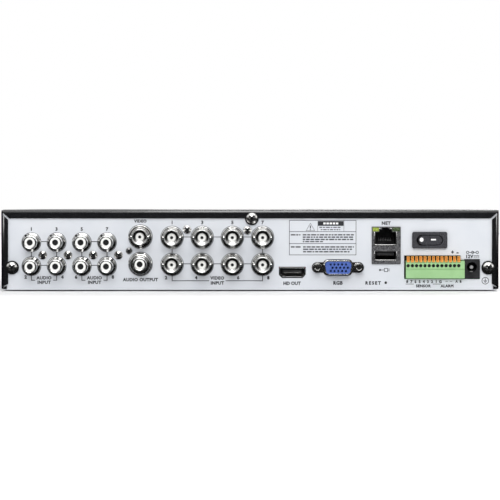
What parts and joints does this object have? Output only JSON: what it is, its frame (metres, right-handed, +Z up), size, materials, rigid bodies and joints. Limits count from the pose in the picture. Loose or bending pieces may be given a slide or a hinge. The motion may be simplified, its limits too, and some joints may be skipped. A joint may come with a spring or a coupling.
{
  "type": "video recorder",
  "caption": "Flat desktop security video recorder in a folded metal case, with audio and video sockets, monitor, network and power ports on its back panel.",
  "frame": {"origin": "middle of the recorder's outline on the surface that its feet stand on", "axes": "+X along the back panel from the audio sockets to the power inlet, +Y from the back panel with the connectors towards the front fascia, +Z up"},
  "size_m": [0.3, 0.2374, 0.0492],
  "materials": {
    "cover_paint": "semi-matt powder coat",
    "panel_paint": "satin paint",
    "foot_rubber": "matt",
    "screw_steel": "bright zinc plate",
    "dark_screw": "dark zinc plate",
    "connector_nickel": "bright nickel plate",
    "contact_gold": "gold flash",
    "insulator_white": "matt",
    "block_black": "matt",
    "board_green": "solder mask",
    "bare_aluminium": "as cast",
    "brass_plain": "turned",
    "cable_red": "satin",
    "lead_grey": "satin",
    "fascia_black": "gloss",
    "window_red": "translucent dark red",
    "light_pipe": "clear",
    "insert_blue": "satin",
    "shield_tin": "tin plate",
    "lamp_green": "translucent",
    "terminal_green": "satin",
    "lever_orange": "satin",
    "switch_black": "fine grain",
    "plunger_black": "satin"
  },
  "bodies": {
    "case": {"base_tray": "panel_paint", "top_cover": "cover_paint", "rubber_feet": "foot_rubber", "case_screws": "screw_steel", "block_screws": "screw_steel", "output_block_screw": "dark_screw", "main_board": "board_green", "board_standoffs": "brass_plain", "inner_screws": "screw_steel", "heat_sink": "bare_aluminium", "clock_battery": "screw_steel", "hard_disk": "bare_aluminium", "disk_cable": "cable_red", "front_fascia": "fascia_black", "front_board": "board_green", "infrared_window": "window_red", "light_pipes": "light_pipe", "front_lead": "lead_grey", "audio_blocks": "block_black", "audio_shells": "connector_nickel", "audio_insulators": "insulator_white", "video_block_left": "block_black", "video_block_right": "block_black", "video_barrels": "connector_nickel", "video_insulators": "insulator_white", "video_contacts": "contact_gold", "output_block": "block_black", "output_barrel": "connector_nickel", "output_audio_shell": "connector_nickel", "output_insulators": "insulator_white", "hd_port_shell": "connector_nickel", "hd_port_tongue": "block_black", "monitor_port_shell": "connector_nickel", "monitor_port_insert": "insert_blue", "monitor_port_jackscrews": "connector_nickel", "network_shield": "shield_tin", "network_insert": "block_black", "usb_tongue": "block_black", "network_lights": "lamp_green", "inlet_body": "block_black", "inlet_pin": "connector_nickel", "terminal_body": "terminal_green", "switch_housing": "switch_black", "switch_leads": "cable_red", "reset_switch": "block_black"},
    "rocker": {"rocker": "switch_black"},
    "reset_plunger": {"reset_plunger": "plunger_black"},
    "lever_1": {"lever_1": "lever_orange"},
    "lever_2": {"lever_2": "lever_orange"},
    "lever_3": {"lever_3": "lever_orange"},
    "lever_4": {"lever_4": "lever_orange"},
    "lever_5": {"lever_5": "lever_orange"},
    "lever_6": {"lever_6": "lever_orange"},
    "lever_7": {"lever_7": "lever_orange"},
    "lever_8": {"lever_8": "lever_orange"},
    "lever_9": {"lever_9": "lever_orange"},
    "lever_10": {"lever_10": "lever_orange"},
    "lever_11": {"lever_11": "lever_orange"},
    "lever_12": {"lever_12": "lever_orange"},
    "lever_13": {"lever_13": "lever_orange"}
  },
  "joints": [
    {"name": "lever_1_press", "type": "hinge", "parent": "case", "child": "lever_1", "pos_m": [0.09522, -0.10705, 0.0178], "axis": [-1, 0, 0], "range_deg": [0, 11], "stiffness_Nm_per_rad": 0.004, "springref_deg": -5.73},
    {"name": "lever_2_press", "type": "hinge", "parent": "case", "child": "lever_2", "pos_m": [0.09776, -0.10705, 0.0178], "axis": [-1, 0, 0], "range_deg": [0, 11], "stiffness_Nm_per_rad": 0.004, "springref_deg": -5.73},
    {"name": "lever_3_press", "type": "hinge", "parent": "case", "child": "lever_3", "pos_m": [0.1003, -0.10705, 0.0178], "axis": [-1, 0, 0], "range_deg": [0, 11], "stiffness_Nm_per_rad": 0.004, "springref_deg": -5.73},
    {"name": "lever_4_press", "type": "hinge", "parent": "case", "child": "lever_4", "pos_m": [0.10284, -0.10705, 0.0178], "axis": [-1, 0, 0], "range_deg": [0, 11], "stiffness_Nm_per_rad": 0.004, "springref_deg": -5.73},
    {"name": "lever_5_press", "type": "hinge", "parent": "case", "child": "lever_5", "pos_m": [0.10538, -0.10705, 0.0178], "axis": [-1, 0, 0], "range_deg": [0, 11], "stiffness_Nm_per_rad": 0.004, "springref_deg": -5.73},
    {"name": "lever_6_press", "type": "hinge", "parent": "case", "child": "lever_6", "pos_m": [0.10792, -0.10705, 0.0178], "axis": [-1, 0, 0], "range_deg": [0, 11], "stiffness_Nm_per_rad": 0.004, "springref_deg": -5.73},
    {"name": "lever_7_press", "type": "hinge", "parent": "case", "child": "lever_7", "pos_m": [0.11046, -0.10705, 0.0178], "axis": [-1, 0, 0], "range_deg": [0, 11], "stiffness_Nm_per_rad": 0.004, "springref_deg": -5.73},
    {"name": "lever_8_press", "type": "hinge", "parent": "case", "child": "lever_8", "pos_m": [0.113, -0.10705, 0.0178], "axis": [-1, 0, 0], "range_deg": [0, 11], "stiffness_Nm_per_rad": 0.004, "springref_deg": -5.73},
    {"name": "lever_9_press", "type": "hinge", "parent": "case", "child": "lever_9", "pos_m": [0.11554, -0.10705, 0.0178], "axis": [-1, 0, 0], "range_deg": [0, 11], "stiffness_Nm_per_rad": 0.004, "springref_deg": -5.73},
    {"name": "lever_10_press", "type": "hinge", "parent": "case", "child": "lever_10", "pos_m": [0.11808, -0.10705, 0.0178], "axis": [-1, 0, 0], "range_deg": [0, 11], "stiffness_Nm_per_rad": 0.004, "springref_deg": -5.73},
    {"name": "lever_11_press", "type": "hinge", "parent": "case", "child": "lever_11", "pos_m": [0.12062, -0.10705, 0.0178], "axis": [-1, 0, 0], "range_deg": [0, 11], "stiffness_Nm_per_rad": 0.004, "springref_deg": -5.73},
    {"name": "lever_12_press", "type": "hinge", "parent": "case", "child": "lever_12", "pos_m": [0.12316, -0.10705, 0.0178], "axis": [-1, 0, 0], "range_deg": [0, 11], "stiffness_Nm_per_rad": 0.004, "springref_deg": -5.73},
    {"name": "lever_13_press", "type": "hinge", "parent": "case", "child": "lever_13", "pos_m": [0.1257, -0.10705, 0.0178], "axis": [-1, 0, 0], "range_deg": [0, 11], "stiffness_Nm_per_rad": 0.004, "springref_deg": -5.73},
    {"name": "rocker_tilt", "type": "hinge", "parent": "case", "child": "rocker", "pos_m": [0.10825, -0.10785, 0.0308], "axis": [0, 0, 1], "range_deg": [-22, 0]},
    {"name": "reset_press", "type": "slide", "parent": "case", "child": "reset_plunger", "axis": [0, 1, 0], "range_m": [0, 0.0005], "stiffness_N_per_m": 200, "springref_m": -0.0005}
  ]
}
